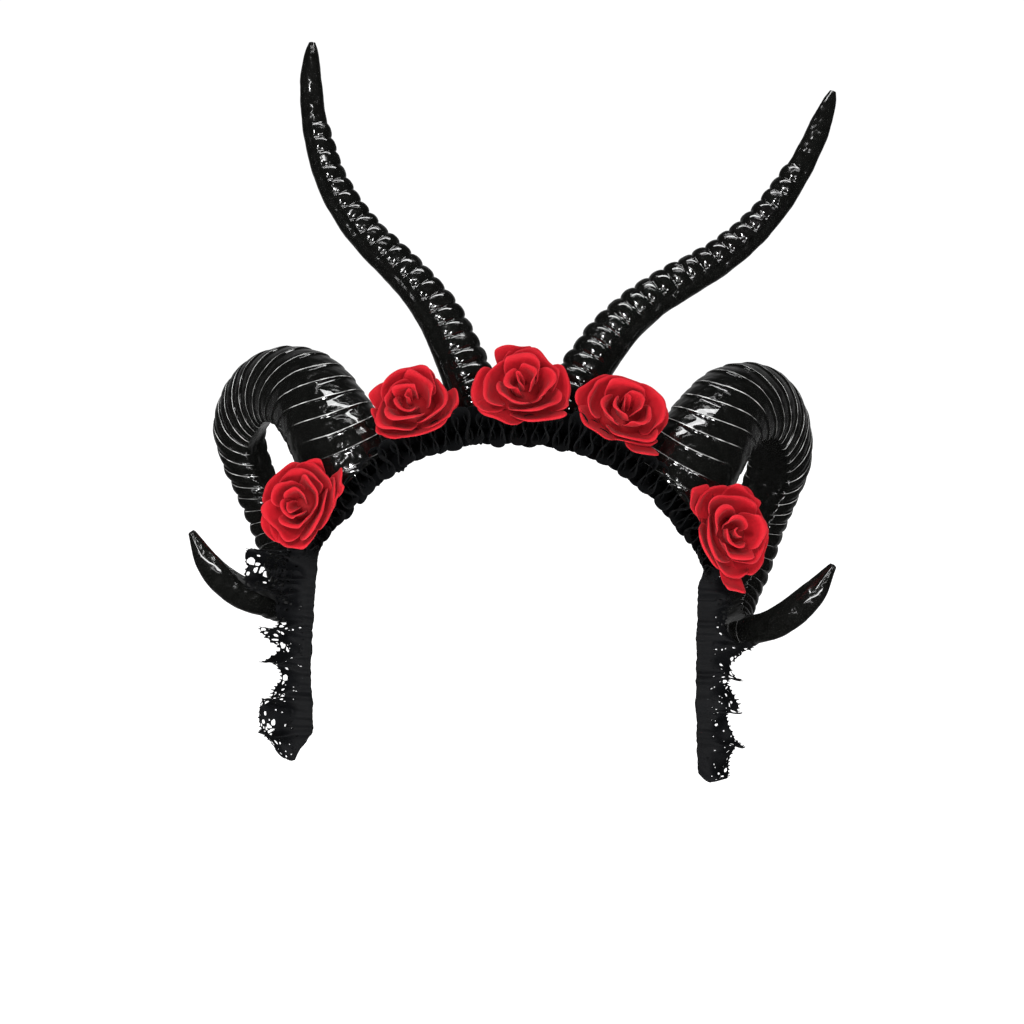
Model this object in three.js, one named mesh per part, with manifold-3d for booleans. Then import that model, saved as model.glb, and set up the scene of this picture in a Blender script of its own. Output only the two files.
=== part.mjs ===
// A costume headband with ram horns: a cloth-covered hair hoop that carries two tall ridged horns,
// two curled ram horns, five cloth roses, a gathered crown ruffle and a lace frill down each side.
// Millimetres. +X is the right of the front view, -Y is the front, +Z is up.
// The origin is the middle of the hoop's inner face at the crown, where the hoop sits on the head.
import * as THREE from 'three';
import Module from 'manifold-3d';

const wasm = await Module();
wasm.setup();

// Driving sizes

const seatGap = 0.35; // air between pieces that rest on each other

const hoop = {
  halfWidth: 82, // centre to inner face at the temples
  crownRise: 64, // temples up to the inner face at the crown
  legLength: 74, // temples down to the two ends
  endSpread: 2, // how much wider each end stands than the temple
  thickness: 2.5,
  depth: 12, // front to back
};

const tallHorn = {
  rootRadius: 10.8,
  flatness: 0.9, // front to back thickness over width
  ridges: 24,
  ridgeHeight: 1.6,
  ridgedShare: 0.81, // of the length, the rest is the smooth tip
  tipRings: 6,
  seat: 15, // from the crown along the hoop
  rootDepth: 9, // how far the axis starts inside the hoop, before the root is trimmed
  sweepBack: 14, // degrees
};

// The tall horn's S curve: its lean from upright and its girth, at shares of its length.
const tallHornCurve = [
  { share: 0.0, lean: 14, girth: 1.0 },
  { share: 0.12, lean: 22, girth: 0.97 },
  { share: 0.25, lean: 31, girth: 0.88 },
  { share: 0.37, lean: 46, girth: 0.77 },
  { share: 0.49, lean: 53, girth: 0.7 },
  { share: 0.61, lean: 41, girth: 0.63 },
  { share: 0.73, lean: 28, girth: 0.56 },
  { share: 0.86, lean: 17, girth: 0.47 },
  { share: 0.93, lean: 13, girth: 0.41 },
  { share: 0.98, lean: 10, girth: 0.26 },
  { share: 1.0, lean: 9, girth: 0.13 },
];

// The horns are bent by hand: each one's length along its curve, from its start inside the hoop,
// and the degrees by which all of it and then its tip lean out past the curve.
const tallHorns = {
  left: { length: 197, lean: 0, tipLean: -10 },
  right: { length: 203, lean: 1.5, tipLean: 5 },
};

const ramHorn = {
  spread: 69, // how far the tip stands out past the root
  depth: 80, // root back to the rear of the curl
  drop: 58, // root down to the bottom of the curl's axis
  rootRadius: 22,
  flatness: 0.82, // thickness across the curl over thickness towards its middle, past the root
  innerFlat: 0.6, // the smooth inner face, as a share of the radius
  hubBack: 0.42, // the middle of the curl: its place behind the root, as a share of the depth
  hubDown: 0.24, // and its place under the root, as a share of the drop
  ridges: 28,
  ridgeHeight: 1.4,
  ridgedShare: 0.84, // of the length, the rest is the smooth tip
  tipRings: 7,
  seat: 71, // from the crown along the hoop
  tipOut: 3, // degrees by which the whole horn tips out at the top
  turnFrom: 0.22, // where along its length the inner face starts to turn
  turnTo: 0.45, // and where it has turned
};

// The ram horn's axis: out along spread, with its girth there, on the left and on the right, then
// back along depth, and up along rise or down along drop.
const ramHornCurl = [
  { left: -0.15, leftGirth: 1.0, right: -0.15, rightGirth: 1.0, back: -0.04, up: -0.35 },
  { left: 0.11, leftGirth: 1.0, right: 0.1, rightGirth: 1.0, back: 0.1, up: 0.35 },
  { left: 0.32, leftGirth: 0.95, right: 0.3, rightGirth: 0.95, back: 0.36, up: 0.9 },
  { left: 0.58, leftGirth: 0.81, right: 0.54, rightGirth: 0.84, back: 0.66, up: 0.96 },
  { left: 0.79, leftGirth: 0.58, right: 0.7, rightGirth: 0.71, back: 0.92, up: 0.46 },
  { left: 0.68, leftGirth: 0.45, right: 0.62, rightGirth: 0.62, back: 1.0, up: -0.2 },
  { left: 0.56, leftGirth: 0.4, right: 0.58, rightGirth: 0.46, back: 0.9, up: -0.56 },
  { left: 0.46, leftGirth: 0.37, right: 0.5, rightGirth: 0.38, back: 0.66, up: -0.86 },
  { left: 0.45, leftGirth: 0.35, right: 0.5, rightGirth: 0.35, back: 0.42, up: -0.99 },
  { left: 0.51, leftGirth: 0.35, right: 0.55, rightGirth: 0.35, back: 0.22, up: -0.96 },
  { left: 0.74, leftGirth: 0.35, right: 0.74, rightGirth: 0.35, back: 0.05, up: -0.84 },
  { left: 0.9, leftGirth: 0.29, right: 0.9, rightGirth: 0.29, back: -0.06, up: -0.63 },
  { left: 1.0, leftGirth: 0.09, right: 1.0, rightGirth: 0.09, back: -0.13, up: -0.41 },
];

// The horns are set by hand: root up to the top of each one's axis, and the degrees by which its
// smooth inner face turns from the middle of the curl towards the head, past the top.
const ramHorns = {
  left: { rise: 34, innerTurn: 65 },
  right: { rise: 37, innerTurn: 30 },
};

const rose = {
  radius: 19,
  height: 15,
  petalThickness: 1.4,
  lobeDepth: 0.14, // how far the lip dips in between two petals, as a share of its reach
  stemRadius: 3.2,
};

// One row for each ring of petals: reach and rise place its lip and floor is the valley inside it,
// as shares of the rose's radius and height.
const rosePetals = [
  { petals: 5, start: 0, reach: 1.0, rise: 0.56, floorReach: 0.5, floor: 0.2 },
  { petals: 4, start: 40, reach: 0.7, rise: 0.84, floorReach: 0.3, floor: 0.42 },
  { petals: 3, start: 75, reach: 0.42, rise: 1.0, floorReach: 0.14, floor: 0.6 },
];

// Each rose: where it sits along the hoop and where its stem is stitched, how far its back stands
// off the hoop and ahead of it, how far it turns from facing front to outward, its spin and its size.
const roses = [
  { name: 'rose_crown', seat: 0, foot: 0, off: 11, ahead: 13, outward: 30, spin: 20, size: 1.04 },
  { name: 'rose_front_left', seat: -37, foot: -36, off: 11, ahead: 13, outward: 32, spin: 64, size: 0.96 },
  { name: 'rose_front_right', seat: 39, foot: 37, off: 11, ahead: 13, outward: 32, spin: 8, size: 0.98 },
  { name: 'rose_side_left', seat: -92, foot: -99, off: 8, ahead: 16, outward: 26, spin: 40, size: 0.94 },
  { name: 'rose_side_right', seat: 94, foot: 99, off: 8, ahead: 16, outward: 26, spin: 78, size: 0.98 },
];

const ruffle = {
  reach: 16, // from the hoop's front edge to the free edge
  wall: 1.2,
  pitch: 8.6, // hoop length taken by one gather
  swell: 0.14, // how far each gather bulges to its sides, as a share of the pitch
  uneven: 0.9, // how far the gathers wander along the hoop, in radians of one gather
  halfRun: 95, // from the crown to each end, along the hoop
};

// The ruffle from the crown to its end: how far its edge hangs under the hoop, and how high a gather is.
const ruffleFall = [
  { share: 0.0, droop: 4.8, wave: 4.6 },
  { share: 0.4, droop: 4.6, wave: 4.4 },
  { share: 0.62, droop: 5, wave: 3.9 },
  { share: 1.0, droop: 5, wave: 4 },
];

const frill = {
  reach: 29, // from the hoop to the free edge where it is widest
  wall: 1.2,
  wave: 6.5, // front to back swing of a gather at the free edge
  pitch: 16,
  start: 104, // from the crown along the hoop
  ahead: 4, // how far the free edge stands in front of the hoop
};

// The frill's width down each side, as a share of its reach: a top flap, a narrow stretch where
// the horn's tip passes, then the lower scallops.
const frillOutline = [
  { share: 0.0, left: 0.36, right: 0.42 },
  { share: 0.1, left: 0.95, right: 0.42 },
  { share: 0.2, left: 0.84, right: 0.3 },
  { share: 0.3, left: 0.48, right: 0.3 },
  { share: 0.4, left: 0.53, right: 0.5 },
  { share: 0.48, left: 0.7, right: 0.54 },
  { share: 0.57, left: 0.68, right: 0.46 },
  { share: 0.64, left: 0.3, right: 0.44 },
  { share: 0.72, left: 0.52, right: 0.44 },
  { share: 0.84, left: 0.62, right: 0.56 },
  { share: 0.93, left: 0.5, right: 0.4 },
  { share: 1.0, left: 0.2, right: 0.2 },
];

// How finely the curves are faceted.
const sides = { hoopHalf: 26, tallHorn: 10, ramHorn: 14, flower: 20, stem: 8, gather: 6, scallop: 8 };

// Materials

const gloss = new THREE.MeshStandardMaterial({ color: 0x0b0b0c, roughness: 0.18, metalness: 0 });
const cloth = new THREE.MeshStandardMaterial({ color: 0x0d0e11, roughness: 0.85, metalness: 0 });
const lace = new THREE.MeshStandardMaterial({ color: 0x0a0a0c, roughness: 0.8, metalness: 0 });
const petalCloth = new THREE.MeshStandardMaterial({ color: 0xc4121c, roughness: 0.6, metalness: 0 });

// Tables and curves

const radians = THREE.MathUtils.degToRad;
const rightward = new THREE.Vector3(1, 0, 0);
const frontToBack = new THREE.Vector3(0, 1, 0);
const upward = new THREE.Vector3(0, 0, 1);

// A column of a table at a share of the length, smoothed through its rows.
function columnAt(table, column, share) {
  const last = table.length - 1;
  const next = Math.min(Math.max(table.findIndex((row) => row.share >= share), 1), last);
  const row = next - 1;
  const slope = (i) => {
    const before = table[Math.max(i - 1, 0)];
    const after = table[Math.min(i + 1, last)];
    return (after[column] - before[column]) / (after.share - before.share);
  };
  const width = table[next].share - table[row].share;
  const t = THREE.MathUtils.clamp((share - table[row].share) / width, 0, 1);
  const held = (1 + 2 * t) * (1 - t) ** 2 * table[row][column] + t * t * (3 - 2 * t) * table[next][column];
  return held + width * (t * (1 - t) ** 2 * slope(row) - t * t * (1 - t) * slope(next));
}

// The right half of the hoop's inner face, from the crown to its end.
const halfHoop = new THREE.CurvePath();
halfHoop.add(new THREE.EllipseCurve(
  0, -hoop.crownRise, hoop.halfWidth, hoop.crownRise, Math.PI / 2, 0, true,
));
halfHoop.add(new THREE.LineCurve(
  new THREE.Vector2(hoop.halfWidth, -hoop.crownRise),
  new THREE.Vector2(hoop.halfWidth + hoop.endSpread, -hoop.crownRise - hoop.legLength),
));
const hoopLength = halfHoop.getLength();

// A place off the hoop: arc runs from the crown along the inner face, negative to the left.
function hoopPlace(arc, outward = 0, ahead = 0) {
  const share = THREE.MathUtils.clamp(Math.abs(arc) / hoopLength, 0, 1);
  const side = arc < 0 ? -1 : 1;
  const at = halfHoop.getPoint(share);
  const along = halfHoop.getTangent(share);
  const normal = new THREE.Vector3(-along.y * side, 0, along.x);
  const point = new THREE.Vector3(at.x * side, -ahead, at.y).addScaledVector(normal, outward);
  return { point, normal };
}

// Solids

// Six times the volume inside a closed mesh, negative where its faces point inwards.
function signedVolume(positions, faces) {
  const corner = (i) => new THREE.Vector3(...positions.slice(3 * i, 3 * i + 3));
  let volume = 0;
  for (let f = 0; f < faces.length; f += 3) {
    volume += corner(faces[f]).dot(corner(faces[f + 1]).cross(corner(faces[f + 2])));
  }
  return volume;
}

// A closed solid from its corners and triangles, turned the right way out.
function solidOf(points, faces) {
  const positions = points.flatMap((p) => [p.x, p.y, p.z]);
  const turned = signedVolume(positions, faces) < 0 ? faces.slice().reverse() : faces;
  return new wasm.Manifold(new wasm.Mesh({
    numProp: 3,
    vertProperties: Float32Array.from(positions),
    triVerts: Uint32Array.from(turned),
  }));
}

// A solid through closed rings of points, with a fan over each end.
function loft(rings) {
  const count = rings[0].length;
  const points = rings.flat();
  const faces = [];
  for (let r = 0; r + 1 < rings.length; r += 1) {
    for (let i = 0; i < count; i += 1) {
      const a = r * count + i;
      const b = r * count + ((i + 1) % count);
      faces.push(a, b, b + count, a, b + count, a + count);
    }
  }
  [0, rings.length - 1].forEach((r, end) => {
    const centre = points.length;
    points.push(rings[r].reduce((sum, p) => sum.add(p), new THREE.Vector3()).divideScalar(count));
    for (let i = 0; i < count; i += 1) {
      const a = r * count + i;
      const b = r * count + ((i + 1) % count);
      faces.push(...(end ? [a, b, centre] : [b, a, centre]));
    }
  });
  return solidOf(points, faces);
}

// A wall of even thickness round a grid of points, rows[i][j].
function sheet(rows, thickness) {
  const wide = rows[0].length;
  const normalAt = (i, j) => {
    const downRow = rows[Math.min(i + 1, rows.length - 1)][j].clone().sub(rows[Math.max(i - 1, 0)][j]);
    const acrossRow = rows[i][Math.min(j + 1, wide - 1)].clone().sub(rows[i][Math.max(j - 1, 0)]);
    return downRow.cross(acrossRow).normalize();
  };
  const skin = (offset) => rows.flatMap((row, i) => (
    row.map((p, j) => p.clone().addScaledVector(normalAt(i, j), offset))));
  const points = [...skin(thickness / 2), ...skin(-thickness / 2)];
  const under = rows.length * wide;
  const faces = [];
  for (let i = 0; i + 1 < rows.length; i += 1) {
    for (let j = 0; j + 1 < wide; j += 1) {
      const a = i * wide + j;
      faces.push(a, a + 1, a + wide + 1, a, a + wide + 1, a + wide);
      const b = under + a;
      faces.push(b, b + wide + 1, b + 1, b, b + wide, b + wide + 1);
    }
  }
  const rim = [];
  for (let j = 0; j < wide - 1; j += 1) rim.push(j);
  for (let i = 0; i < rows.length - 1; i += 1) rim.push(i * wide + wide - 1);
  for (let j = wide - 1; j > 0; j -= 1) rim.push((rows.length - 1) * wide + j);
  for (let i = rows.length - 1; i > 0; i -= 1) rim.push(i * wide);
  rim.forEach((a, k) => {
    const b = rim[(k + 1) % rim.length];
    faces.push(b, a, under + a, b, under + a, under + b);
  });
  return solidOf(points, faces);
}

function hoopOutline(outward) {
  const outline = [];
  for (let i = -sides.hoopHalf; i <= sides.hoopHalf; i += 1) {
    const { point } = hoopPlace((hoopLength * i) / sides.hoopHalf, outward);
    outline.push(new THREE.Vector2(point.x, point.z));
  }
  return outline;
}

// A flat outline made a solid of the given depth, centred front to back.
function slab(outline, depth) {
  const geometry = new THREE.ExtrudeGeometry(new THREE.Shape(outline), { depth, bevelEnabled: false });
  geometry.translate(0, 0, -depth / 2).rotateX(Math.PI / 2);
  return solidFromGeometry(geometry);
}

function solidFromGeometry(geometry) {
  const welded = new wasm.Mesh({
    numProp: 3,
    vertProperties: Float32Array.from(geometry.attributes.position.array),
    triVerts: Uint32Array.from({ length: geometry.attributes.position.count }, (_, i) => i),
  });
  welded.merge();
  return new wasm.Manifold(welded);
}

// Everything inside the hoop, grown by the seat gap: what rests on the hoop is trimmed by it.
function headForm() {
  const outline = hoopOutline(hoop.thickness + seatGap);
  const floor = -2 * (hoop.crownRise + hoop.legLength);
  outline.push(new THREE.Vector2(outline.at(-1).x, floor), new THREE.Vector2(outline[0].x, floor));
  return slab(outline, 4 * hoop.halfWidth);
}

// A named mesh whose own origin is at a given place.
function piece(name, solid, material, at = new THREE.Vector3()) {
  const { vertProperties, triVerts, numProp } = solid.translate([-at.x, -at.y, -at.z]).getMesh();
  const positions = new Float32Array((vertProperties.length / numProp) * 3);
  for (let i = 0; i < positions.length / 3; i += 1) {
    positions.set(vertProperties.subarray(i * numProp, i * numProp + 3), 3 * i);
  }
  const geometry = new THREE.BufferGeometry();
  geometry.setAttribute('position', new THREE.BufferAttribute(positions, 3));
  geometry.setIndex(new THREE.BufferAttribute(Uint32Array.from(triVerts), 1));
  geometry.computeVertexNormals();
  const mesh = new THREE.Mesh(geometry, material.clone());
  mesh.name = name;
  mesh.position.copy(at);
  return mesh;
}

// Sub-parts

function makeHoop() {
  const outline = [...hoopOutline(hoop.thickness), ...hoopOutline(0).reverse()];
  return piece('hoop', slab(outline, hoop.depth), cloth);
}

// Where along a horn its rings lie: a valley and a crest for each ridge, then the smooth tip.
function hornRings({ ridges, ridgedShare, tipRings }) {
  const shares = [];
  for (let i = 0; i < 2 * ridges; i += 1) {
    shares.push({ share: (ridgedShare * i) / (2 * ridges), crest: i % 2 });
  }
  for (let i = 0; i <= tipRings; i += 1) {
    shares.push({ share: ridgedShare + ((1 - ridgedShare) * i) / tipRings, crest: 0 });
  }
  return shares;
}

function tallHornAxis(side, bend) {
  const steps = 60;
  const points = [hoopPlace(side * tallHorn.seat, hoop.thickness - tallHorn.rootDepth).point];
  for (let i = 0; i < steps; i += 1) {
    const share = (i + 0.5) / steps;
    const lean = radians(columnAt(tallHornCurve, 'lean', share) + bend.lean + bend.tipLean * share);
    const step = new THREE.Vector3(side * Math.sin(lean), 0, Math.cos(lean));
    step.applyAxisAngle(rightward, -radians(tallHorn.sweepBack)).multiplyScalar(bend.length / steps);
    points.push(points.at(-1).clone().add(step));
  }
  return new THREE.CatmullRomCurve3(points);
}

function makeTallHorn(name, side, bend, form) {
  const axis = tallHornAxis(side, bend);
  const front = new THREE.Vector3(0, -1, 0).applyAxisAngle(rightward, -radians(tallHorn.sweepBack));
  const rings = hornRings(tallHorn).map(({ share, crest }) => {
    const centre = axis.getPointAt(share);
    const inward = front.clone().cross(axis.getTangentAt(share)).normalize().multiplyScalar(side);
    const radius = tallHorn.rootRadius * columnAt(tallHornCurve, 'girth', share);
    return Array.from({ length: sides.tallHorn }, (_, i) => {
      const angle = (2 * Math.PI * i) / sides.tallHorn;
      const ridged = THREE.MathUtils.smoothstep(Math.cos(angle), -0.75, -0.2);
      const r = radius + (crest ? tallHorn.ridgeHeight * ridged * (1 - 0.4 * share) : 0);
      return centre.clone()
        .addScaledVector(inward, r * Math.cos(angle))
        .addScaledVector(front, r * tallHorn.flatness * Math.sin(angle));
    });
  });
  const seat = hoopPlace(side * tallHorn.seat, hoop.thickness).point;
  return piece(name, loft(rings).subtract(form), gloss, seat);
}

function ramHornAxis(side, column, rise) {
  const root = hoopPlace(side * ramHorn.seat, hoop.thickness).point;
  const points = ramHornCurl.map((row) => new THREE.Vector3(
    root.x + side * row[column] * ramHorn.spread,
    root.y + row.back * ramHorn.depth,
    root.z + row.up * (row.up > 0 ? rise : ramHorn.drop),
  ));
  return { root, axis: new THREE.CatmullRomCurve3(points, false, 'centripetal') };
}

function makeRamHorn(name, side, { rise, innerTurn }, form) {
  const column = side < 0 ? 'left' : 'right';
  const { root, axis } = ramHornAxis(side, column, rise);
  const hub = root.clone().add(new THREE.Vector3(
    0, ramHorn.hubBack * ramHorn.depth, -ramHorn.hubDown * ramHorn.drop,
  ));
  const tipOut = side * radians(ramHorn.tipOut);
  const girths = ramHornCurl.map((row, i) => ({ share: i, girth: row[`${column}Girth`] }));
  const rings = hornRings(ramHorn).map(({ share, crest }) => {
    const centre = axis.getPointAt(share);
    const forward = axis.getTangentAt(share);
    const inward = hub.clone().sub(centre).setX(0);
    inward.addScaledVector(forward, -inward.dot(forward)).normalize();
    const turned = radians(innerTurn) * THREE.MathUtils.smoothstep(share, ramHorn.turnFrom, ramHorn.turnTo);
    inward.applyAxisAngle(forward, side * turned);
    const across = forward.clone().cross(inward).multiplyScalar(side);
    const flatness = 1 - (1 - ramHorn.flatness) * THREE.MathUtils.smoothstep(share, 0, 0.3);
    const row = axis.getUtoTmapping(share) * (ramHornCurl.length - 1);
    const radius = ramHorn.rootRadius * columnAt(girths, 'girth', row);
    return Array.from({ length: sides.ramHorn }, (_, i) => {
      const angle = (2 * Math.PI * i) / sides.ramHorn;
      const ridged = 1 - THREE.MathUtils.smoothstep(Math.cos(angle), 0.3, 0.7);
      const r = radius + (crest ? ramHorn.ridgeHeight * ridged * (1 - 0.3 * share) : 0);
      const point = centre.clone()
        .addScaledVector(inward, Math.min(r * Math.cos(angle), radius * ramHorn.innerFlat))
        .addScaledVector(across, r * flatness * Math.sin(angle));
      return point.sub(root).applyAxisAngle(frontToBack, tipOut).add(root);
    });
  });
  return piece(name, loft(rings).subtract(form), gloss, root);
}

// A ring round the flower, which faces along z, with one lobe for each petal of the given row.
function petalRing(row, reach, rise, lobeDepth) {
  return Array.from({ length: sides.flower }, (_, i) => {
    const angle = (2 * Math.PI * i) / sides.flower;
    const along = ((row.petals * i) / sides.flower) % 1;
    const dip = 1 - Math.sin(Math.PI * along) ** 0.6;
    const out = reach * (1 + lobeDepth * (0.5 * along - dip));
    const up = rise * (1 - 1.6 * lobeDepth * dip);
    const heading = angle + radians(row.start);
    return new THREE.Vector3(out * Math.cos(heading), out * Math.sin(heading), up);
  });
}

// The whole bloom as one surface, up the back of each ring of petals, over its lip and down inside it.
function flower() {
  const { radius, height, petalThickness, lobeDepth } = rose;
  const rings = [petalRing(rosePetals[0], 0.24 * radius, -0.1 * height, 0)];
  rings.push(petalRing(rosePetals[0], 0.72 * radius, 0.14 * height, 0.5 * lobeDepth));
  rosePetals.forEach((row) => {
    rings.push(petalRing(row, row.reach * radius, row.rise * height, lobeDepth));
    rings.push(petalRing(row, row.reach * radius - petalThickness, (row.rise + 0.05) * height, lobeDepth));
    rings.push(petalRing(row, row.floorReach * radius, row.floor * height, 0));
  });
  rings.push(petalRing(rosePetals[0], 0.07 * radius, 0.88 * height, 0));
  return loft(rings);
}

function circle(centre, facing, radius, count) {
  const turn = new THREE.Quaternion().setFromUnitVectors(upward, facing);
  return Array.from({ length: count }, (_, i) => {
    const angle = (2 * Math.PI * i) / count;
    const spoke = new THREE.Vector3(radius * Math.cos(angle), radius * Math.sin(angle), 0);
    return spoke.applyQuaternion(turn).add(centre);
  });
}

function makeRose(place, bloom, form) {
  const base = hoopPlace(place.seat, hoop.thickness + place.off, place.ahead);
  const facing = base.normal.clone().multiplyScalar(Math.sin(radians(place.outward)));
  facing.y -= Math.cos(radians(place.outward));
  const turn = new THREE.Quaternion().setFromUnitVectors(upward, facing);
  turn.multiply(new THREE.Quaternion().setFromAxisAngle(upward, radians(place.spin)));
  const matrix = new THREE.Matrix4().compose(base.point, turn, new THREE.Vector3().setScalar(place.size));
  const head = bloom.transform(matrix.elements);
  const foot = hoopPlace(place.foot, hoop.thickness - 1, 0.2 * hoop.depth).point;
  const toFoot = foot.clone().sub(base.point).normalize();
  const neck = base.point.clone().addScaledVector(facing, 2);
  const stem = loft([
    circle(neck, toFoot, rose.stemRadius, sides.stem),
    circle(foot, toFoot, 0.7 * rose.stemRadius, sides.stem),
  ]);
  return piece(place.name, head.add(stem).subtract(form), petalCloth, base.point);
}

function makeRuffle() {
  const gathers = Math.round((2 * ruffle.halfRun) / ruffle.pitch);
  const steps = gathers * sides.gather;
  const rows = Array.from({ length: steps + 1 }, (_, i) => {
    const run = (2 * i) / steps - 1;
    const phase = (2 * Math.PI * gathers * i) / steps + ruffle.uneven * Math.sin(7 * run);
    const wave = -columnAt(ruffleFall, 'wave', Math.abs(run)) * Math.cos(phase);
    const droop = columnAt(ruffleFall, 'droop', Math.abs(run));
    const swell = ruffle.swell * ruffle.pitch * Math.sin(2 * phase);
    return [0, 0.5, 1].map((out) => hoopPlace(
      ruffle.halfRun * run + swell * out,
      hoop.thickness / 2 + wave * out - droop * out * out,
      hoop.depth / 2 + seatGap + ruffle.wall / 3 + ruffle.reach * out,
    ).point);
  });
  return piece('crown_ruffle', sheet(rows, ruffle.wall), cloth);
}

function makeFrill(name, side, outline) {
  const run = hoopLength - frill.start;
  const gathers = Math.round(run / frill.pitch);
  const steps = gathers * sides.scallop;
  const rows = Array.from({ length: steps + 1 }, (_, i) => {
    const share = i / steps;
    const width = frill.reach * columnAt(frillOutline, outline, share);
    const wave = frill.wave * Math.sin(2 * Math.PI * gathers * share);
    return [0, 0.35, 0.7, 1].map((out) => hoopPlace(
      side * (frill.start + run * share),
      hoop.thickness + seatGap + frill.wall / 2 + width * out,
      frill.ahead * out + wave * out,
    ).point);
  });
  return piece(name, sheet(rows, frill.wall), lace);
}

// The headband

const form = headForm();
const bloom = flower();

const band = new THREE.Group();
band.add(
  makeHoop(),
  makeRuffle(),
  makeFrill('lace_frill_left', -1, 'left'),
  makeFrill('lace_frill_right', 1, 'right'),
);

const horns = new THREE.Group();
horns.add(
  makeTallHorn('tall_horn_left', -1, tallHorns.left, form),
  makeTallHorn('tall_horn_right', 1, tallHorns.right, form),
  makeRamHorn('ram_horn_left', -1, ramHorns.left, form),
  makeRamHorn('ram_horn_right', 1, ramHorns.right, form),
);

const flowers = new THREE.Group();
flowers.add(...roses.map((place) => makeRose(place, bloom, form)));

const headband = new THREE.Group();
headband.add(band, horns, flowers);

export default headband;
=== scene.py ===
"""A costume headband with ram horns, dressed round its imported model.

Glossy black horns, red cloth roses, a gathered black ruffle and two lace frills on a cloth-covered
hair hoop. Shapes are worked out in millimetres in the CAD frame (+X right, -Y front, +Z up, origin at
the crown of the hoop's inner face) and scaled to metres when a piece is finished.
"""
import bisect
import math
import random

import bmesh
import bpy
from mathutils import Matrix, Vector, noise


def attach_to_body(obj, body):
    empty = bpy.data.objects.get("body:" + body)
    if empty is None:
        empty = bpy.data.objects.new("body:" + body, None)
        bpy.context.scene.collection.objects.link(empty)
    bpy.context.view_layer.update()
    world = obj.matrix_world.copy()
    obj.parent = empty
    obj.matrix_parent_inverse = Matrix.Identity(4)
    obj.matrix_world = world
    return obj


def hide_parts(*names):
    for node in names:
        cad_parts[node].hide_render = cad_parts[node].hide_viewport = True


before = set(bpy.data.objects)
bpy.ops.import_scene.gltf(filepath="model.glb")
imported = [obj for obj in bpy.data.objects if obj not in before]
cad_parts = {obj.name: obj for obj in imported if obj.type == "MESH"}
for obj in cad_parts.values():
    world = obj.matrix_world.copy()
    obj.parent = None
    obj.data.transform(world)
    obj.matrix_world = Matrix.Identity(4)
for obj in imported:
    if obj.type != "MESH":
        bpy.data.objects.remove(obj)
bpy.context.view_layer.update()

MM = 0.001
X, Y, Z = Vector((1, 0, 0)), Vector((0, 1, 0)), Vector((0, 0, 1))

# Camera

FRAME_PIXELS = 1024
PIXEL = 0.42 * MM  # one pixel of the frame, in the plane of the hoop
CAMERA_DISTANCE = 1.5
CAMERA_DIP = math.radians(3)  # looks down by this much
CAMERA_ROLL = math.radians(3)
ORIGIN_PIXEL = (519, 428)  # where the crown of the hoop lies in the frame


def set_camera():
    """The view of the photograph, with the crown of the hoop at ORIGIN_PIXEL."""
    forward = Vector((0, math.cos(CAMERA_DIP), -math.sin(CAMERA_DIP)))
    level_up = X.cross(forward)
    right = X * math.cos(CAMERA_ROLL) + level_up * math.sin(CAMERA_ROLL)
    up = level_up * math.cos(CAMERA_ROLL) - X * math.sin(CAMERA_ROLL)
    middle = FRAME_PIXELS / 2
    target = right * (middle - ORIGIN_PIXEL[0]) * PIXEL - up * (middle - ORIGIN_PIXEL[1]) * PIXEL
    data = bpy.data.cameras.new("camera")
    data.sensor_width = 36
    data.lens = data.sensor_width * CAMERA_DISTANCE / (FRAME_PIXELS * PIXEL)
    data.clip_start, data.clip_end = 0.05, 50
    camera = bpy.data.objects.new("camera", data)
    turned = Matrix((right, up, -forward)).transposed().to_4x4()
    camera.matrix_world = Matrix.Translation(target - forward * CAMERA_DISTANCE) @ turned
    bpy.context.scene.collection.objects.link(camera)
    bpy.context.scene.camera = camera


# Curves


def smoothstep(value, low, high):
    """0 up to low, 1 from high on, and eased between."""
    t = min(max((value - low) / (high - low), 0), 1)
    return t * t * (3 - 2 * t)


def column_at(rows, column, share):
    """A column of a table whose first column is the share, smoothed through its rows."""
    last = len(rows) - 1
    after = min(max(next((i for i, row in enumerate(rows) if row[0] >= share), last), 1), last)
    before = after - 1

    def slope(i):
        low, high = rows[max(i - 1, 0)], rows[min(i + 1, last)]
        return (high[column] - low[column]) / (high[0] - low[0])

    width = rows[after][0] - rows[before][0]
    t = min(max((share - rows[before][0]) / width, 0), 1)
    held = (1 + 2 * t) * (1 - t) ** 2 * rows[before][column] + t * t * (3 - 2 * t) * rows[after][column]
    return held + width * (t * (1 - t) ** 2 * slope(before) - t * t * (1 - t) * slope(after))


def lengths_along(points):
    """The length of a line up to each of its points."""
    total = [0.0]
    for a, b in zip(points, points[1:]):
        total.append(total[-1] + (b - a).length)
    return total


def at_length(points, lengths, length):
    """(point, direction, index with its fraction) at a length along a fine line."""
    i = min(max(bisect.bisect_right(lengths, length) - 1, 0), len(points) - 2)
    t = (length - lengths[i]) / (lengths[i + 1] - lengths[i])
    before, after = points[max(i - 1, 0)], points[min(i + 2, len(points) - 1)]
    here, there = points[i + 1] - before, after - points[i]
    return points[i].lerp(points[i + 1], t), here.lerp(there, t).normalized(), i + t


# The hoop, which everything sits on

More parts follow.
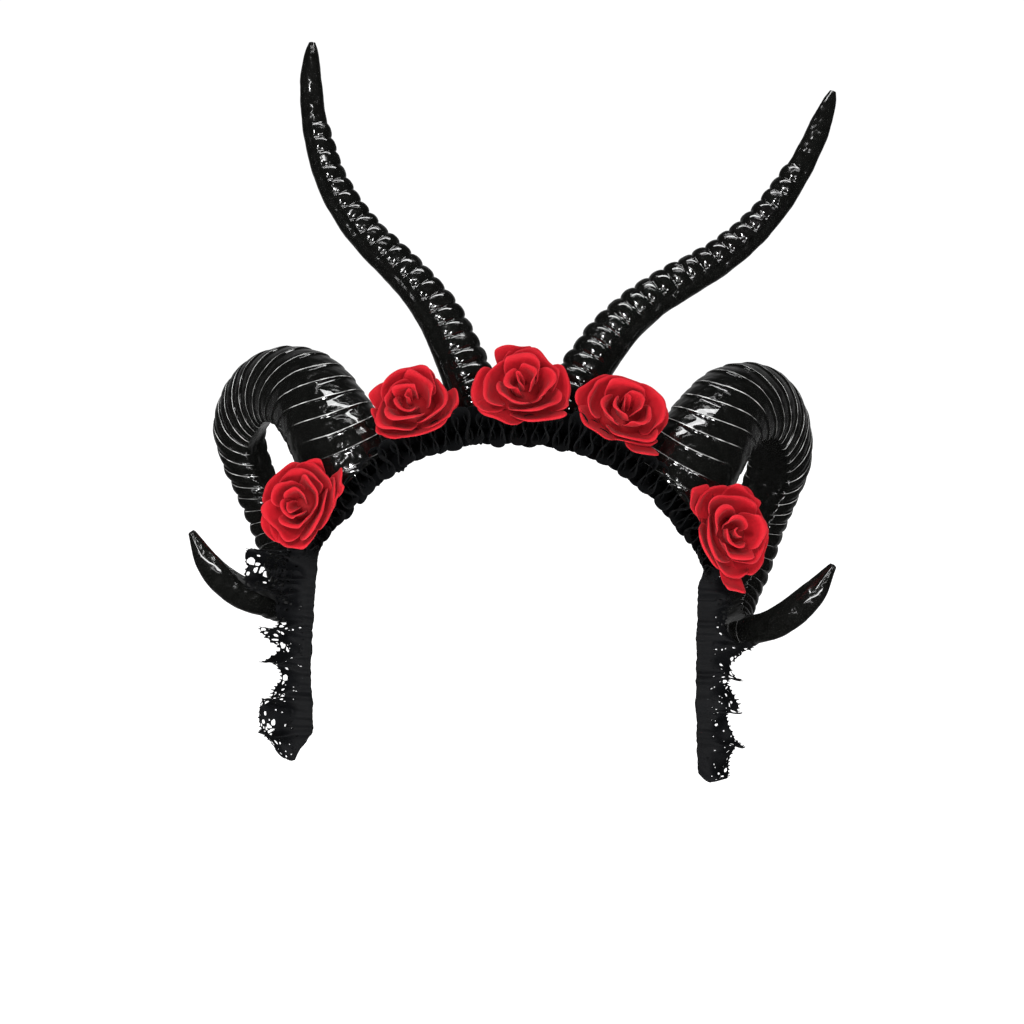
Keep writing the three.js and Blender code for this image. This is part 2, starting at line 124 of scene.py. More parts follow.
HOOP_HALF_WIDTH, HOOP_RISE, HOOP_LEG, HOOP_SPREAD = 82, 64, 74, 2
HOOP_THICK, HOOP_DEPTH = 2.5, 12
SEAT_GAP = 0.35  # how far the pieces on the hoop stand off it
ARCH_STEPS = 400
ARCH = [
    Vector((HOOP_HALF_WIDTH * math.sin(a), 0, HOOP_RISE * (math.cos(a) - 1)))
    for a in (math.pi / 2 * i / ARCH_STEPS for i in range(ARCH_STEPS + 1))
]
ARCH_LENGTHS = lengths_along(ARCH)
LEG_DIRECTION = Vector((HOOP_SPREAD, 0, -HOOP_LEG)).normalized()
HOOP_LENGTH = ARCH_LENGTHS[-1] + math.hypot(HOOP_LEG, HOOP_SPREAD)


def hoop_frame(arc):
    """(point, normal, direction to the right) on the hoop's inner face, arc mm from the crown."""
    side, arc = math.copysign(1, arc), abs(arc)
    if arc < ARCH_LENGTHS[-1]:
        point, along, _ = at_length(ARCH, ARCH_LENGTHS, arc)
    else:
        point, along = ARCH[-1] + LEG_DIRECTION * (arc - ARCH_LENGTHS[-1]), LEG_DIRECTION
    point = Vector((point.x * side, 0, point.z))
    return point, Vector((-along.z * side, 0, along.x)), Vector((along.x, 0, along.z * side))


def hoop_place(arc, outward=0, ahead=0):
    """A point outward mm off the hoop's inner face and ahead mm towards the front."""
    point, normal, _ = hoop_frame(arc)
    return point + normal * outward - Y * ahead


def off_head(point):
    """How far a point stands off the hoop's inner face, in the plane of the hoop."""
    x, z = abs(point.x), point.z + HOOP_RISE
    if z < 0:
        return (x - HOOP_HALF_WIDTH + z * HOOP_SPREAD / HOOP_LEG) * -LEG_DIRECTION.z
    reach = math.hypot(x / HOOP_HALF_WIDTH, z / HOOP_RISE)
    if reach < 1e-6:
        return -HOOP_RISE
    slope = math.hypot(x / HOOP_HALF_WIDTH**2, z / HOOP_RISE**2) / reach
    return (reach - 1) / slope


# Mesh helpers

MERGE = 1e-4  # corners closer than this are one


def skin(bm, across, along, place):
    """A grid of across by along faces, moved corner by corner to place(i, j); gives (corner, i, j)."""
    made = []
    for corner in bmesh.ops.create_grid(bm, x_segments=across, y_segments=along, size=0.5)["verts"]:
        i, j = round((corner.co.x + 0.5) * across), round((corner.co.y + 0.5) * along)
        corner.co = place(i, j)
        made.append((corner, i, j))
    return made


def tube(bm, rings, layer_name="", marks=()):
    """A closed skin drawn through rings of points, with a face over each open end."""
    around = len(rings[0])
    layer = bm.verts.layers.float.new(layer_name) if layer_name else None
    for corner, i, j in skin(bm, around, len(rings) - 1, lambda i, j: rings[j][i % around]):
        if layer:
            corner[layer] = marks[j][i % around]
    bmesh.ops.remove_doubles(bm, verts=bm.verts, dist=MERGE)
    open_edges = [edge for edge in bm.edges if edge.is_boundary]
    for edge in open_edges:
        edge.smooth = False
    bmesh.ops.holes_fill(bm, edges=open_edges, sides=0)
    bmesh.ops.recalc_face_normals(bm, faces=bm.faces)


def finish_piece(name, bm, material, replaces=(), thickness=0, rounds=0):
    """Makes the piece: scaled to metres, walled in mm, smoothed in rounds, and tied to the frame."""
    bmesh.ops.scale(bm, vec=(MM, MM, MM), verts=bm.verts)
    mesh = bpy.data.meshes.new(name)
    for face in bm.faces:
        face.smooth = True
    bm.to_mesh(mesh)
    bm.free()
    mesh.materials.append(material)
    piece = bpy.data.objects.new(name, mesh)
    bpy.context.scene.collection.objects.link(piece)
    if thickness:
        wall = piece.modifiers.new("wall", "SOLIDIFY")
        wall.thickness, wall.offset = thickness * MM, 0
    if rounds:
        round_off = piece.modifiers.new("round", "SUBSURF")
        round_off.levels = round_off.render_levels = rounds
    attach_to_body(piece, "root")
    if replaces:
        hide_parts(*replaces)
    return piece


# Materials


class Wiring:
    """Adds nodes to a tree, each with its sockets set or wired by name."""

    def __init__(self, tree):
        self.tree = tree

    def node(self, kind, sockets=(), **settings):
        made = self.tree.nodes.new(kind)
        for name, value in settings.items():
            setattr(made, name, value)
        for key, value in dict(sockets).items():
            if isinstance(value, bpy.types.NodeSocket):
                self.tree.links.new(value, made.inputs[key])
            else:
                made.inputs[key].default_value = value
        return made

    def math(self, operation, *values):
        return self.node("ShaderNodeMath", dict(enumerate(values)), operation=operation).outputs[0]

    def mix(self, factor, first, second):
        """A mix of two colours: sockets 0, 6 and 7 and output 2 are the node's own for colour."""
        return self.node("ShaderNodeMix", {0: factor, 6: first, 7: second}, data_type="RGBA").outputs[2]

    def bump(self, height, strength, distance, below=None):
        sockets = {"Height": height, "Strength": strength, "Distance": distance}
        if below is not None:
            sockets["Normal"] = below
        return self.node("ShaderNodeBump", sockets).outputs[0]


def shader_group(name, takes, gives, build):
    """An effect as a node group: takes and gives list (socket name, kind, default)."""
    group = bpy.data.node_groups.new(name, "ShaderNodeTree")
    for way, sockets in (("INPUT", takes), ("OUTPUT", gives)):
        for socket_name, kind, default in sockets:
            socket = group.interface.new_socket(socket_name, in_out=way, socket_type=f"NodeSocket{kind}")
            if default is not None:
                socket.default_value = default
    wiring = Wiring(group)
    entry = group.nodes.new("NodeGroupInput")
    wiring.node("NodeGroupOutput", build(wiring, entry.outputs))
    return group


def build_mottle(w, given):
    """Slow unevenness with a finer one over it."""
    slow = w.node("ShaderNodeTexNoise", {"Vector": given["Vector"], "Scale": given["Scale"], "Detail": 3.0})
    finer = w.math("MULTIPLY", given["Scale"], 4.7)
    fine = w.node("ShaderNodeTexNoise", {"Vector": given["Vector"], "Scale": finer, "Detail": 2.0})
    both = w.math("MULTIPLY_ADD", fine.outputs[0], 0.35, w.math("MULTIPLY", slow.outputs[0], 0.65))
    return {"Height": both, "Tone": w.math("MULTIPLY_ADD", both, 2.0, -0.5)}


def build_dents(w, given):
    """Shallow smooth dents, as on a moulded surface."""
    wide = w.node("ShaderNodeTexNoise", {"Vector": given["Vector"], "Scale": given["Scale"], "Detail": 0.5})
    # Its second output makes the painted highlight lines on the horn crests patchy.
    painted_highlight = w.node("ShaderNodeMapRange", {"Value": wide.outputs[0], "From Min": 0.35, "From Max": 0.62})
    return {"Height": wide.outputs[0], "Worn": painted_highlight.outputs[0]}


def build_weave(w, given):
    """Plain weave of crossing threads, Pitch metres apart."""
    axes = w.node("ShaderNodeSeparateXYZ", {"Vector": given["Vector"]})
    turns = w.math("DIVIDE", math.tau / 2, given["Pitch"])
    warp = w.math("SINE", w.math("MULTIPLY", axes.outputs[0], turns))
    weft = w.math("SINE", w.math("MULTIPLY", axes.outputs[1], turns))
    cross = w.math("MULTIPLY", warp, weft)
    slub = w.node("ShaderNodeTexNoise", {"Vector": given["Vector"], "Scale": 900.0, "Detail": 2.0})
    height = w.math("MULTIPLY_ADD", cross, 0.4, w.math("MULTIPLY_ADD", slub.outputs[0], 0.4, 0.3))
    return {"Height": height, "Thread": w.math("MULTIPLY_ADD", cross, 0.5, 0.5)}


def build_specks(w, given):
    """Small sparse flecks, such as dust on gloss or pilling on cloth."""
    cells = w.node("ShaderNodeTexVoronoi", {"Vector": given["Vector"], "Scale": given["Scale"]})
    near = w.math("LESS_THAN", cells.outputs["Distance"], given["Size"])
    lot = w.node("ShaderNodeSeparateColor", {"Color": cells.outputs["Color"]})
    return {"Mask": w.math("MULTIPLY", near, w.math("LESS_THAN", lot.outputs[0], given["Share"]))}


MOTTLE = shader_group(
    "mottle", [("Vector", "Vector", None), ("Scale", "Float", 40.0)],
    [("Height", "Float", None), ("Tone", "Float", None)], build_mottle)
DENTS = shader_group(
    "dents", [("Vector", "Vector", None), ("Scale", "Float", 200.0)],
    [("Height", "Float", None), ("Worn", "Float", None)], build_dents)
WEAVE = shader_group(
    "weave", [("Vector", "Vector", None), ("Pitch", "Float", 0.0005)],
    [("Height", "Float", None), ("Thread", "Float", None)], build_weave)
SPECKS = shader_group(
    "specks",
    [("Vector", "Vector", None), ("Scale", "Float", 500.0), ("Size", "Float", 0.2), ("Share", "Float", 0.1)],
    [("Mask", "Float", None)], build_specks)


def new_material(name, **constants):
    """A material with its Principled BSDF; constants go on the shader's own sockets."""
    material = bpy.data.materials.new(name)
    material.use_nodes = True
    shader = material.node_tree.nodes["Principled BSDF"]
    for key, value in constants.items():
        shader.inputs[key.replace("_", " ")].default_value = value
    w = Wiring(material.node_tree)

    def attach(**sockets):
        for key, value in sockets.items():
            material.node_tree.links.new(value, shader.inputs[key.replace("_", " ")])

    return material, w, attach


def group_node(w, group, **sockets):
    return w.node("ShaderNodeGroup", sockets, node_tree=group).outputs


def horn_gloss():
    """Black moulded plastic under gloss lacquer: soft dents, brush drag, a little dust, painted highlight
    lines on the crests.
    """
    deep_black, thin_black = (0.0012, 0.0013, 0.0011, 1), (0.0042, 0.0043, 0.004, 1)
    # The second grey is a painted highlight for the ridge crests.
    dust_grey, painted_highlight_grey = (0.05, 0.05, 0.048, 1), (0.55, 0.55, 0.54, 1)
    material, w, attach = new_material(
        "horn_gloss", IOR=1.5, Coat_Roughness=0.03, Coat_IOR=1.5, Specular_IOR_Level=0.2)
    place = w.node("ShaderNodeTexCoord").outputs["Object"]
    dents = group_node(w, DENTS, Vector=place, Scale=230.0)
    drag = group_node(w, MOTTLE, Vector=place, Scale=320.0)
    dust = group_node(w, SPECKS, Vector=place, Scale=420.0, Size=0.13, Share=0.004)
    # The crest marks paint thin highlight lines along the ridges, made patchy by the dents.
    crest = w.node("ShaderNodeAttribute", attribute_name="crest").outputs["Fac"]
    painted_line = w.math("MULTIPLY", crest, w.math("MULTIPLY_ADD", dents["Worn"], 0.75, 0.25))
    colour = w.mix(drag["Tone"], deep_black, thin_black)
    colour = w.mix(w.math("MULTIPLY", dust["Mask"], 0.15), colour, dust_grey)
    colour = w.mix(painted_line, colour, painted_highlight_grey)
    rough = w.math("MULTIPLY_ADD", drag["Tone"], 0.08, 0.14)
    coat = w.math("SUBTRACT", 1.0, w.math("MULTIPLY", dust["Mask"], 0.8))
    normal = w.bump(drag["Height"], 0.04, 0.0001, w.bump(dents["Height"], 0.9, 0.0017))
    attach(Base_Color=colour, Roughness=rough, Coat_Weight=coat, Normal=normal)
    return material


def black_cloth(name, pitch, dark, painted_highlight, sheen, rough):
    """Woven black cloth on the piece's own cut: weave, slubs, lint, and a painted highlight on thread tops.
    """
    lint_grey = (0.09, 0.095, 0.1, 1)
    material, w, attach = new_material(
        name, IOR=1.45, Sheen_Weight=sheen, Sheen_Roughness=0.45, Specular_IOR_Level=0.1)
    cut = w.node("ShaderNodeTexCoord").outputs["UV"]
    threads = group_node(w, WEAVE, Vector=cut, Pitch=pitch)
    fade = group_node(w, MOTTLE, Vector=cut, Scale=90.0)
    lint = group_node(w, SPECKS, Vector=cut, Scale=420.0, Size=0.14, Share=0.05)
    # The lighter colour on the thread tops is a painted highlight, varied by random tone.
    colour = w.mix(w.math("MULTIPLY", threads["Thread"], fade["Tone"]), dark, painted_highlight)
    colour = w.mix(w.math("MULTIPLY", lint["Mask"], 0.35), colour, lint_grey)
    attach(
        Base_Color=colour,
        Roughness=w.math("MULTIPLY_ADD", fade["Tone"], 0.12, rough),
        Normal=w.bump(threads["Height"], 0.6, pitch * 0.35),
    )
    return material


def petal_cloth():
    """Soft red rose cloth: fine weave, painted shade down in the bloom, a painted highlight on petal rims.
    """
    dark_red, bright_red = (0.27, 0.0022, 0.0065, 1), (0.36, 0.005, 0.012, 1)
    # The next two colours are painted shade for the bloom's depths and a painted highlight for the rims.
    shaded_red, rim_highlight_red = (0.11, 0.0002, 0.0012, 1), (0.48, 0.028, 0.04, 1)
    thread_red = (0.45, 0.02, 0.03, 1)
    material, w, attach = new_material(
        "petal_cloth", IOR=1.45, Sheen_Weight=0.1, Sheen_Roughness=0.5, Specular_IOR_Level=0.1,
        Sheen_Tint=(1.0, 0.35, 0.35, 1))
    cut = w.node("ShaderNodeTexCoord").outputs["UV"]
    threads = group_node(w, WEAVE, Vector=cut, Pitch=0.00032)
    wash = group_node(w, MOTTLE, Vector=cut, Scale=110.0)
    rim = w.node("ShaderNodeAttribute", attribute_name="rim").outputs["Fac"]
    depth = w.node("ShaderNodeAttribute", attribute_name="depth").outputs["Fac"]
    colour = w.mix(wash["Tone"], dark_red, bright_red)
    # Painted shade deep in the bloom, then a painted highlight on the petal rims.
    colour = w.mix(w.math("MULTIPLY", depth, 0.85), colour, shaded_red)
    colour = w.mix(w.math("MULTIPLY", rim, 0.25), colour, rim_highlight_red)
    colour = w.mix(w.math("MULTIPLY", threads["Thread"], 0.1), colour, thread_red)
    attach(
        Base_Color=colour,
        Roughness=w.math("MULTIPLY_ADD", wash["Tone"], 0.15, 0.55),
        Normal=w.bump(wash["Height"], 0.3, 0.0006, w.bump(threads["Height"], 0.35, 0.00008)),
    )
    return material


GLOSS = horn_gloss()
# Each cloth's second colour is the painted highlight for its thread tops.
BAND_CLOTH = black_cloth(
    "band_cloth", pitch=0.0005, dark=(0.0011, 0.0012, 0.0015, 1), painted_highlight=(0.0045, 0.0048, 0.0056, 1),
    sheen=0.008, rough=0.6)
RUFFLE_CLOTH = black_cloth(
    "ruffle_cloth", pitch=0.00042, dark=(0.0013, 0.0015, 0.0018, 1), painted_highlight=(0.0048, 0.0055, 0.0065, 1),
    sheen=0.015, rough=0.55)
LACE = black_cloth(
    "lace", pitch=0.0004, dark=(0.0009, 0.001, 0.0013, 1), painted_highlight=(0.0036, 0.004, 0.005, 1),
    sheen=0.006, rough=0.5)
PETAL_CLOTH = petal_cloth()


# Horns

# Ridge profiles over one ridge, from the root side to the tip side: share, height, painted crest highlight.
BEAD = (
    (0, 0, 0), (0.06, 0.38, 0), (0.15, 0.7, 0), (0.3, 0.94, 0), (0.48, 1, 0), (0.66, 0.93, 0),
    (0.82, 0.68, 0), (0.93, 0.36, 0))
SCALE = (
    (0, 0, 0), (0.04, 0.34, 0), (0.08, 0.8, 0), (0.11, 0.97, 0), (0.125, 1, 1), (0.145, 1, 1),
    (0.17, 0.98, 0), (0.3, 0.9, 0), (0.48, 0.72, 0), (0.66, 0.48, 0), (0.86, 0.18, 0))


def ring_shares(ridges, ridged_share, profile, tip_rings, packed):
    """(share of the length, ridge number, part of the ridge, height, painted crest highlight) of each ring.
    """
    made = []
    for ridge in range(ridges):
        for part, height, painted_line in profile:
            made.append((ridged_share * packed((ridge + part) / ridges), ridge, part, height, painted_line))
    for i in range(tip_rings + 1):
        made.append((ridged_share + (1 - ridged_share) * i / tip_rings, ridges, 0, 0, 0))
    return made


def trim_on_head(rings, clearance):
    """Starts each line of the horn where it comes out of the head form, so its foot sits on it."""
    for i in range(len(rings[0])):
        j = next(j for j, ring in enumerate(rings) if off_head(ring[i]) > clearance)
        if not j:
            continue
        low, high = off_head(rings[j - 1][i]), off_head(rings[j][i])
        foot = rings[j - 1][i].lerp(rings[j][i], (clearance - low) / (high - low))
        for ring in rings[:j]:
            ring[i] = foot


def unevenness(point, size, seed):
    """Smooth noise from about -1 to 1, its lumps about size mm across."""
    return noise.noise(point / size + Vector((seed, 0, 0)))


TALL_ROOT, TALL_FLATNESS, TALL_SEAT, TALL_ROOT_DEPTH = 10.8, 0.9, 15, 9
TALL_RIDGES, TALL_RIDGE_HEIGHT, TALL_RIDGED = 24, 1.6, 0.81
TALL_SWEEP = math.radians(14)
TALL_CURVE = (  # share, lean in degrees, girth
    (0.0, 14, 1.0), (0.12, 22, 0.97), (0.25, 31, 0.88), (0.37, 46, 0.77), (0.49, 53, 0.7), (0.61, 41, 0.63),
    (0.73, 28, 0.56), (0.86, 17, 0.47), (0.93, 13, 0.41), (0.98, 10, 0.26), (1.0, 9, 0.13))
TALL_AROUND, TALL_STEPS, TALL_TIP_RINGS = 64, 240, 36
# Cosines of the angle from the horn's inner side: the ridges run out between them, and a seam lies at
# the first.
TALL_KEEL, TALL_RIDGE_EDGE = -0.52, -0.2
TALL_SEAM_DEPTH, TALL_SEAM_WIDTH = 0.35, 0.09


def tall_horn(name, side, length, lean_out, tip_lean, seed):
    """A tall horn, lean_out degrees further out all along and tip_lean more at its tip."""
    draw = random.Random(seed)
    line = [hoop_place(side * TALL_SEAT, HOOP_THICK - TALL_ROOT_DEPTH)]
    for i in range(TALL_STEPS):
        share = (i + 0.5) / TALL_STEPS
        lean = math.radians(column_at(TALL_CURVE, 1, share) + lean_out + tip_lean * share)
        rise = math.cos(lean)
        step = Vector((side * math.sin(lean), rise * math.sin(TALL_SWEEP), rise * math.cos(TALL_SWEEP)))
        line.append(line[-1] + step * (length / TALL_STEPS))
    lengths = lengths_along(line)
    front = Vector((0, -math.cos(TALL_SWEEP), math.sin(TALL_SWEEP)))
    height_of = [draw.uniform(0.85, 1.12) for _ in range(TALL_RIDGES + 1)]
    rings = []
    shares = ring_shares(TALL_RIDGES, TALL_RIDGED, BEAD, TALL_TIP_RINGS, lambda q: q)
    for share, ridge, _, height, _ in shares:
        centre, tangent, _ = at_length(line, lengths, share * lengths[-1])
        inward = front.cross(tangent).normalized() * side
        radius = TALL_ROOT * column_at(TALL_CURVE, 2, share)
        ring = []
        for i in range(TALL_AROUND):
            angle = math.tau * i / TALL_AROUND
            facing = math.cos(angle)
            ridged = smoothstep(facing, TALL_KEEL, TALL_RIDGE_EDGE)
            seam = math.exp(-(((facing - TALL_KEEL) / TALL_SEAM_WIDTH) ** 2)) * smoothstep(share, 0.03, 0.1)
            crest = TALL_RIDGE_HEIGHT * (1 - 0.35 * share) * height * height_of[ridge] * ridged
            r = radius + crest - TALL_SEAM_DEPTH * seam * min(radius / 6, 1)
            point = centre + inward * (r * facing) + front * (r * TALL_FLATNESS * math.sin(angle))
            bulge = 0.3 * unevenness(point, 7, seed) + 0.1 * unevenness(point, 2.2, seed + 9)
            out = (point - centre).normalized() if radius > 0.5 else Vector()
            ring.append(point + out * bulge * min(radius / 5, 1))
        rings.append(ring)
    trim_on_head(rings, HOOP_THICK + SEAT_GAP)
    bm = bmesh.new()
    tube(bm, rings)
    finish_piece(f"{name}_lacquered", bm, GLOSS, [name])


RAM_SPREAD, RAM_DEPTH, RAM_DROP = 69, 80, 58
RAM_ROOT, RAM_FLATNESS, RAM_INNER_FLAT, RAM_SEAT = 22, 0.82, 0.6, 71
RAM_HUB_BACK, RAM_HUB_DOWN = 0.42, 0.24
RAM_VALLEY = 0.2  # how far the valleys lie under the horn's own girth
RAM_TIP_OUT = 3
RAM_RIDGES, RAM_RIDGED = 36, 0.84
RAM_CURL = (  # out and girth on the left, out and girth on the right, back, up
    (-0.15, 1.0, -0.15, 1.0, -0.04, -0.35), (0.11, 1.0, 0.1, 1.0, 0.1, 0.35),
    (0.32, 0.95, 0.3, 0.95, 0.36, 0.9), (0.58, 0.81, 0.54, 0.84, 0.66, 0.96),
    (0.79, 0.58, 0.7, 0.71, 0.92, 0.46), (0.68, 0.45, 0.62, 0.62, 1.0, -0.2),
    (0.56, 0.4, 0.58, 0.46, 0.9, -0.56), (0.46, 0.37, 0.5, 0.38, 0.66, -0.86),
    (0.45, 0.35, 0.5, 0.35, 0.42, -0.99), (0.51, 0.35, 0.55, 0.35, 0.22, -0.96),
    (0.74, 0.35, 0.74, 0.35, 0.05, -0.84), (0.9, 0.29, 0.9, 0.29, -0.06, -0.63),
    (1.0, 0.09, 1.0, 0.09, -0.13, -0.41))
RAM_RIDGE_HEIGHTS = (
    (0, 0.4), (0.2, 0.55), (0.32, 0.8), (0.42, 1.1), (0.6, 1.4), (0.72, 1.4), (0.84, 0.8), (1, 0.4))
# How far along the horn each ridge's inner side lies past its middle, and its outer side before it.
RAM_SLANT = ((0, 0), (0.08, 5), (0.2, 13), (0.32, 12), (0.45, 6), (0.65, 3.5), (0.84, 2), (1, 0))
RAM_AROUND, RAM_PER_SPAN, RAM_TIP_RINGS = 72, 40, 40
RAM_TURN = 0.22, 0.45  # shares of the length between which the smooth inner face turns
RAM_SMOOTH = 0.52, 0.74  # cosines of the angle from the inner side between which the ridges run out
RAM_CLOSE = 0.79  # ridges stand closer towards the tip: 1 would space them evenly


def ram_ridge_share(q):
    """Where along the ridged stretch the share q of all its ridges is passed."""
    spread = 1 - RAM_CLOSE
    return (math.sqrt(RAM_CLOSE**2 + 4 * spread * q) - RAM_CLOSE) / (2 * spread)


def curl_line(points, per_span):
    """A centripetal Catmull-Rom line through the points."""
    line = []
    for i in range(len(points) - 1):
        p1, p2 = points[i], points[i + 1]
        p0 = points[i - 1] if i else p1 * 2 - p2
        p3 = points[i + 2] if i + 2 < len(points) else p2 * 2 - p1
        d0, d1, d2 = (math.sqrt((b - a).length) for a, b in ((p0, p1), (p1, p2), (p2, p3)))
        m1 = ((p1 - p0) / d0 - (p2 - p0) / (d0 + d1) + (p2 - p1) / d1) * d1
        m2 = ((p2 - p1) / d1 - (p3 - p1) / (d1 + d2) + (p3 - p2) / d2) * d1
        for k in range(per_span):
            t = k / per_span
            bend, turn = (p2 - p1) * 3 - m1 * 2 - m2, (p1 - p2) * 2 + m1 + m2
            line.append(p1 + m1 * t + bend * t**2 + turn * t**3)
    return line + [points[-1]]


def ram_horn(name, side, rise, inner_turn, seed):
    """A curled horn that rises by rise mm, its smooth inner face turned by inner_turn degrees."""
    draw = random.Random(seed)
    root = hoop_place(side * RAM_SEAT, HOOP_THICK)
    column = 0 if side < 0 else 2
    line = curl_line(
        [root + Vector((side * row[column] * RAM_SPREAD, row[4] * RAM_DEPTH,
                        row[5] * (rise if row[5] > 0 else RAM_DROP)))
         for row in RAM_CURL], RAM_PER_SPAN)
    lengths = lengths_along(line)
    hub = root + Vector((0, RAM_HUB_BACK * RAM_DEPTH, -RAM_HUB_DOWN * RAM_DROP))
    tip_out = Matrix.Rotation(side * math.radians(RAM_TIP_OUT), 3, "Y")
    girths = [(i, row[column + 1]) for i, row in enumerate(RAM_CURL)]
    height_of = [draw.uniform(0.82, 1.15) for _ in range(RAM_RIDGES + 1)]

    def on_horn(share, angle, crest):
        """(point, its way off the middle), crest mm off the smooth horn."""
        centre, forward, index = at_length(line, lengths, share * lengths[-1])
        inward = hub - centre
        inward.x = 0
        inward = (inward - forward * inward.dot(forward)).normalized()
        across = forward.cross(inward) * side
        turned = math.radians(inner_turn) * smoothstep(share, *RAM_TURN)
        inward, across = (
            inward * math.cos(turned) + across * math.sin(turned),
            across * math.cos(turned) - inward * math.sin(turned))
        flatness = 1 - (1 - RAM_FLATNESS) * smoothstep(share, 0, 0.3)
        radius = RAM_ROOT * column_at(girths, 1, index / RAM_PER_SPAN)
        r = radius + crest - RAM_VALLEY
        depth = min(r * math.cos(angle), radius * RAM_INNER_FLAT)
        point = centre + inward * depth + across * (r * flatness * math.sin(angle))
        bulge = 0.35 * unevenness(point, 9, seed) + 0.12 * unevenness(point, 2.6, seed + 9)
        off = (point - centre).normalized()
        return tip_out @ (point + off * bulge * min(radius / 8, 1) - root) + root, off

    rings, marks = [], []
    shares = ring_shares(RAM_RIDGES, RAM_RIDGED, SCALE, RAM_TIP_RINGS, ram_ridge_share)
    for share, ridge, part, height, painted_line in shares:
        height += (math.sin(math.pi * part) ** 0.6 - height) * smoothstep(share, 0.3, 0.42)
        crest = column_at(RAM_RIDGE_HEIGHTS, 1, share) * height * height_of[ridge]
        slant = column_at(RAM_SLANT, 1, share) / lengths[-1]
        # How strong this ring's painted crest highlight is, a little fainter past the horn's middle.
        painted_line_strength = painted_line * (1 - 0.45 * smoothstep(share, 0.4, 0.6))
        ring, mark = [], []
        for i in range(RAM_AROUND):
            angle = math.tau * i / RAM_AROUND
            ridged = 1 - smoothstep(math.cos(angle), *RAM_SMOOTH)
            here = min(max(share + slant * math.cos(angle), 0), 1)
            point, off = on_horn(here, angle, crest * ridged)
            # The painted highlight is kept to crests that face up, away from the root; from about a third of
            # the way along it runs all round.
            lit = smoothstep(off.z, 0.0, 0.5) * smoothstep(here, 0.05, 0.13)
            ring.append(point)
            mark.append(painted_line_strength * ridged * (lit + (1 - lit) * smoothstep(here, 0.24, 0.36)))
        rings.append(ring)
        marks.append(mark)
    trim_on_head(rings, HOOP_THICK + SEAT_GAP)
    bm = bmesh.new()
    # The crest marks carry the painted highlight lines to the lacquer.
    tube(bm, rings, "crest", marks)
    finish_piece(f"{name}_lacquered", bm, GLOSS, [name])


# Roses

ROSE_RADIUS, ROSE_HEIGHT = 19, 15
# Rings of petals, outermost first: how many, first heading, half width in degrees, then how far out
# and how high each petal's foot, belly, rim and rolled edge lie, as shares of the rose.
PETAL_RINGS = (
    (5, 0, 50, (0.2, 0.0), (0.84, -0.06), (1.0, 0.3), (1.06, 0.22)),
    (3, 30, 66, (0.18, 0.08), (0.74, 0.16), (0.8, 0.62), (0.89, 0.58)),
    (3, 80, 62, (0.14, 0.16), (0.52, 0.34), (0.54, 0.86), (0.64, 0.86)),
    (2, 15, 84, (0.08, 0.22), (0.28, 0.5), (0.28, 0.98), (0.36, 1.0)),
    (1, 140, 120, (0.02, 0.25), (0.1, 0.55), (0.11, 0.96), (0.15, 1.0)),
)
ROSE_PRESS = 0.66  # the half of each rose towards the hoop is pressed to this share of its reach
PETAL_ACROSS, PETAL_UP = 14, 10
PETAL_BEND = 0.8  # the share of a petal's height where its edge starts to roll over
CRUMPLE_WIDE, CRUMPLE_FINE = (10, 2.4), (4, 0.5)  # how wide and how deep the cloth is crumpled
HEART_REACH, HEART_AROUND, HEART_RINGS = 0.62, 20, 6
ROSES = (  # name, seat, foot, off the hoop, ahead, turn outward, spin, size
    ("rose_crown", 0.5, 0, 11, 13, 30, 20, 1.0),
    ("rose_front_left", -39.5, -36, 11, 13, 32, 64, 0.96),
    ("rose_front_right", 37.5, 37, 11.5, 13, 32, 8, 0.96),
    ("rose_side_left", -92, -99, 8, 16, 26, 40, 0.94),
    ("rose_side_right", 94, 99, 8, 16, 26, 78, 0.98),
)
ROSE_LOBES = {  # single petals that hang out past the rest: heading in degrees, half width, reach
    "rose_crown": ((104, 26, 1.14),),
    "rose_front_left": ((200, 30, 1.06),),
    "rose_front_right": ((-60, 21, 1.45),),
    "rose_side_left": ((62, 34, 1.1), (4, 24, 1.3), (-20, 20, 1.2), (190, 32, 1.08)),
    "rose_side_right": ((158, 26, 1.22), (-66, 24, 1.3), (85, 34, 1.08)),
}
STEM_RADIUS, STEM_AROUND, STEM_RINGS = 3.2, 16, 12


def rose_point(out, angle, lift):
    """A point of the flower, out and lift as shares of its radius and height."""
    flat = Vector((out * math.cos(angle), out * math.sin(angle), 0))
    return flat * ROSE_RADIUS + Z * lift * ROSE_HEIGHT


def petal_profile(foot, belly, rim, roll, up):
    """A point on the petal's middle line: a cup from foot to rim, then the rolled edge."""
    if up < PETAL_BEND:
        t = up / PETAL_BEND
        a, b, c = (1 - t) ** 2, 2 * t * (1 - t), t * t
        return Vector((a * foot[0] + b * belly[0] + c * rim[0], a * foot[1] + b * belly[1] + c * rim[1]))
    t = (up - PETAL_BEND) / (1 - PETAL_BEND)
    out = rim[0] + (roll[0] - rim[0]) * math.sin(t * math.pi / 2)
    lift = rim[1] + (roll[1] - rim[1]) * t * t + 0.06 * math.sin(t * math.pi)
    return Vector((out, lift))


